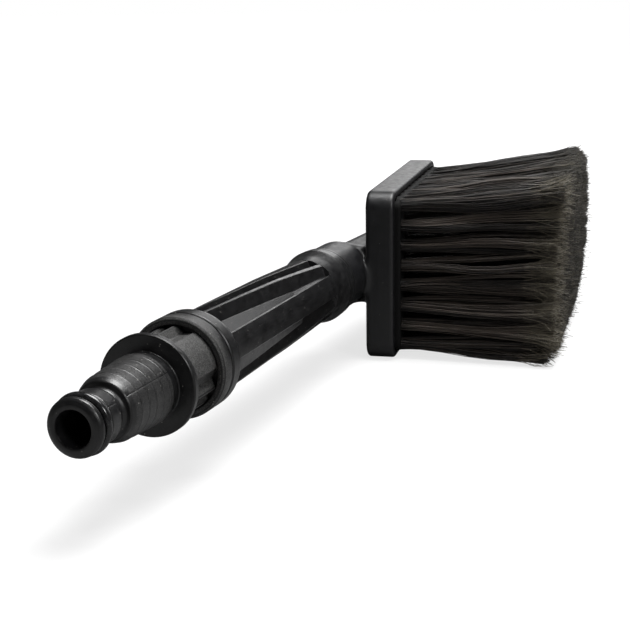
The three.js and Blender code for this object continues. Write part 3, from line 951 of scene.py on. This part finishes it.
def draw_paths(rng, root, tip, length, tuft, lock):
    """Paths (n, k, 3) from roots to tips, bent and rippled with their lock and a little on their own."""
    count = len(root)
    path = np.empty((count, len(KNOT_AT), 3))
    opened = KNOT_AT ** 1.35
    wave = rng.normal(0, 1.15, (TUFTS, LOCKS, 2, 2))[tuft, lock]
    own = rng.normal(0, 1, (count, 2, 2))
    arch = np.sin(math.pi * KNOT_AT)[None, :]
    curl = np.sin(2.6 * math.pi * KNOT_AT)[None, :]
    for way, axis in enumerate((0, 2)):
        bend = arch * (0.60 * wave[:, 0, way] + 0.26 * own[:, 0, way])[:, None]
        ripple = curl * (0.32 * wave[:, 1, way] + 0.12 * own[:, 1, way])[:, None]
        straight = root[:, axis, None] + (tip[way] - root[:, axis])[:, None] * opened
        path[:, :, axis] = straight + bend + ripple
    path[:, :, 1] = root[:, 1, None] - (length + 1.3)[:, None] * KNOT_AT * 0.985
    return path


def split_ends(rng, path, tone, row, row_shade_factor):
    """Finer fibres that leave each filament near its tip and curl a little, some of them wildly.

    Gives their points, quads, tones and places along the filament.
    """
    parent = np.repeat(np.arange(len(path)), FIBRES)
    total = len(parent)
    begin = path[parent, -3]
    end = path[parent, -1]
    curl = rng.normal(0, 1, (total, 3)) * (0.55, 0.35, 0.55)
    wild_share = 0.10 + 0.34 * (row < 2)
    wild = (rng.random(total) < wild_share)[:, None] * rng.normal(0, 1, (total, 3)) * (1.5, 1.3, 1.7)
    u = np.linspace(0, 1, FIBRE_KNOTS)
    fibre = begin[:, None] + (end - begin)[:, None] * u[None, :, None]
    fibre += (curl + wild)[:, None] * (u ** 1.7)[None, :, None]
    hook = rng.normal(0, 1, (total, 3)) * (0.35, 0.2, 0.35)
    fibre[:, :, 2] = soft_limit(fibre[:, :, 2], LOWEST_FIBRE, 0.2, True)
    fibre += hook[:, None] * np.sin(2.2 * math.pi * u)[None, :, None] * u[None, :, None]
    radius = (FIBRE_R + 0.035 * (wild[:, :1] != 0)) * np.linspace(1, 0.6, FIBRE_KNOTS)
    points, quads = tube_mesh(tube_rings(fibre, radius, rng.uniform(0, 2, total)))
    fibre_tone = tone[parent] + rng.normal(0.05, 0.18, total)
    fibre_tone += (wild[:, 0] ** 2 + wild[:, 2] ** 2) * 0.10
    # The row's painted shade darkens the split fibres too.
    fibre_tone = row_shade_factor * np.clip(fibre_tone, 0, 1)
    tones = np.repeat(fibre_tone, FIBRE_KNOTS * 3)
    alongs = np.tile(np.repeat(0.82 + 0.18 * u, 3), total)
    return points, quads, tones, alongs


def make_row(row):
    """One row of tufts: filaments with split ends, darker in the rows farther away as painted shade."""
    rng = np.random.default_rng(FIRST_SEED + row)
    at = row / (ROWS - 1)
    row_x = ROW_MARGIN + row * ROW_PITCH
    count = TUFTS * STRANDS
    tuft = np.repeat(np.arange(TUFTS), STRANDS)
    tuft_z = (tuft - MIDDLE_TUFT) * TUFT_PITCH
    angle = rng.uniform(0, 2 * math.pi, count)
    reach = np.sqrt(rng.uniform(0, 1, count))
    local = np.stack([np.cos(angle), np.sin(angle)], 1) * reach[:, None]
    lock, lock_middle, lock_shift, lock_tone = gather_locks(rng, tuft, local)
    tip = place_tips(rng, at, row_x, tuft_z, tuft, local, lock_middle, lock_shift)
    root_y = np.full(count, ROOT_Y)
    root = np.stack([row_x + local[:, 0] * TUFT_R, root_y, tuft_z + local[:, 1] * TUFT_R], 1)
    length = tip_length(at, tip[1]) * (1 - 0.012 * np.abs(rng.normal(0, 1, count)))

    # Painted shade: the rows farther away get darker filaments, as if less lit.
    row_shade_factor = np.interp(row, [0, 1, 4, 11], [1.0, 0.95, 0.55, 0.5])
    tone = np.clip(0.62 * lock_tone ** 1.4 + 0.50 * rng.beta(1.4, 2.4, count), 0, 1)
    tone *= row_shade_factor
    tone += 0.45 * (rng.random(count) < PALE_SHARE)

    path = draw_paths(rng, root, tip, length, tuft, lock)
    radius = np.full((count, len(KNOT_AT)), FILAMENT_R) * np.where(KNOT_AT > 0.85, 0.72, 1.0)
    points, quads = tube_mesh(tube_rings(path, radius, rng.uniform(0, 2, count)))
    tones = np.repeat(tone, len(KNOT_AT) * 3)
    alongs = np.tile(np.repeat(KNOT_AT, 3), count)
    fine, fine_quads, fine_tones, fine_alongs = split_ends(rng, path, tone, row, row_shade_factor)
    attributes = {
        "tone": np.concatenate([tones, fine_tones]),
        "along": np.concatenate([alongs, fine_alongs]),
    }
    quads = np.vstack([quads, fine_quads + len(points)])
    points = np.vstack([points, fine]) + BLOCK_ORIGIN
    number = "%02d" % (row + 1)
    add_mesh(
        "tufts_" + number, points, quads, FILAMENT, "brush", ["bristle_row_" + number],
        attributes, sharp=None,
    )


# ---------------------------------------------------------------- stage

FLOOR_HALF_M = 6.0
FLOOR_DROP_M = 0.0002


def make_floor():
    """A pale floor that the camera sees brighter away from the brush, so it has no horizon."""
    n = Nodes("floor_paint")
    place = n.place()
    tint = n.ramp(n.noise(place, 0.004, 2), 0.2, 0.8)
    n.link(n.mix(tint, (0.20, 0.20, 0.20), (0.23, 0.23, 0.23)), n.shader.inputs["Base Color"])
    n.shader.inputs["Roughness"].default_value = 0.9
    n.shader.inputs["Specular IOR Level"].default_value = 0.1
    n.shader.inputs["Emission Color"].default_value = (1, 1, 1, 1)
    distance = n.add("VectorMath", operation="LENGTH")
    n.link(place, distance.inputs[0])
    seen = n.add("LightPath").outputs["Is Camera Ray"]
    glow = n.ramp(distance.outputs["Value"], 250, 800, 0.74, 1.0)
    n.link(n.math("MULTIPLY", glow, seen), n.shader.inputs["Emission Strength"])
    mesh = bpy.data.meshes.new("floor")
    r = FLOOR_HALF_M
    mesh.from_pydata([(-r, -r, 0), (r, -r, 0), (r, r, 0), (-r, r, 0)], [], [(0, 1, 2, 3)])
    mesh.materials.append(n.material)
    floor = bpy.data.objects.new("floor", mesh)
    floor.location.z = -FLOOR_DROP_M
    bpy.context.scene.collection.objects.link(floor)


def add_area(name, place, aim, size, power):
    """A white rectangular lamp at one point, turned to face another."""
    light = bpy.data.lights.new(name, "AREA")
    light.shape = "RECTANGLE"
    light.size, light.size_y = size
    light.energy = power
    lamp = bpy.data.objects.new(name, light)
    lamp.location = place
    lamp.rotation_mode = "QUATERNION"
    lamp.rotation_quaternion = (Vector(aim) - Vector(place)).to_track_quat("-Z", "Y")
    bpy.context.scene.collection.objects.link(lamp)


def make_light():
    """A dim room that the camera sees as white, and three lamps."""
    world = bpy.data.worlds.new("studio")
    bpy.context.scene.world = world
    world.use_nodes = True
    nodes, links = world.node_tree.nodes, world.node_tree.links
    nodes.clear()
    seen = nodes.new("ShaderNodeLightPath")
    plain = nodes.new("ShaderNodeBackground")
    plain.inputs["Color"].default_value = (1, 1, 1, 1)
    plain.inputs["Strength"].default_value = 1.0
    room = nodes.new("ShaderNodeBackground")
    room.inputs["Color"].default_value = (1, 1, 1, 1)
    room.inputs["Strength"].default_value = 0.06
    mixed = nodes.new("ShaderNodeMixShader")
    out = nodes.new("ShaderNodeOutputWorld")
    links.new(seen.outputs["Is Camera Ray"], mixed.inputs[0])
    links.new(room.outputs[0], mixed.inputs[1])
    links.new(plain.outputs[0], mixed.inputs[2])
    links.new(mixed.outputs[0], out.inputs["Surface"])
    add_area("overhead", (0.10, -0.15, 1.0), (-0.02, 0.0, 0.0), (0.6, 0.6), 21)
    add_area("behind", (1.2, -0.02, 0.46), (0.05, 0.0, 0.03), (0.6, 0.4), 2.3)
    add_area("right", (-0.60, -0.75, 0.6), (-0.10, 0.0, 0.03), (0.22, 0.22), 4.2)


CAMERA_PLACE = np.array([-497.46, -98.41, 106.22])  # in the block frame
CAMERA_RIGHT = Vector((0.22684, -0.97382, -0.01502))
CAMERA_BACK = Vector((-0.94685, -0.22411, 0.23075))


def make_camera():
    """The camera stands behind the connector and looks along the handle, a little down."""
    data = bpy.data.cameras.new("camera")
    data.sensor_width = 36
    data.lens = 80
    camera = bpy.data.objects.new("camera", data)
    right = CAMERA_RIGHT.normalized()
    back = CAMERA_BACK.normalized()
    up = back.cross(right).normalized()
    right = up.cross(back)
    place = (CAMERA_PLACE + BLOCK_ORIGIN) * MM
    turn = Matrix((right, up, back)).transposed().to_4x4()
    camera.matrix_world = Matrix.Translation(Vector(place)) @ turn
    bpy.context.scene.collection.objects.link(camera)
    bpy.context.scene.camera = camera


def dress_cad_nodes():
    """Finishes for the CAD pieces that stay: the seals, the clip and the valve."""
    finishes = {
        "shaft_o_ring_front": SEAL_RUBBER,
        "shaft_o_ring_rear": SEAL_RUBBER,
        "spigot_o_ring": SEAL_RUBBER,
        "retaining_clip": CLIP_PLASTIC,
        "valve_disc": VALVE_PLASTIC,
        "valve_seat": VALVE_PLASTIC,
    }
    for name, material in finishes.items():
        node = frame["nodes"][name]
        for slot in node.material_slots:
            slot.material = material


dress_cad_nodes()
make_connector()
make_seal()
make_grip()
make_head()
for row_number in range(ROWS):
    make_row(row_number)
make_floor()
make_light()
make_camera()
bpy.context.scene.view_settings.view_transform = "Standard"
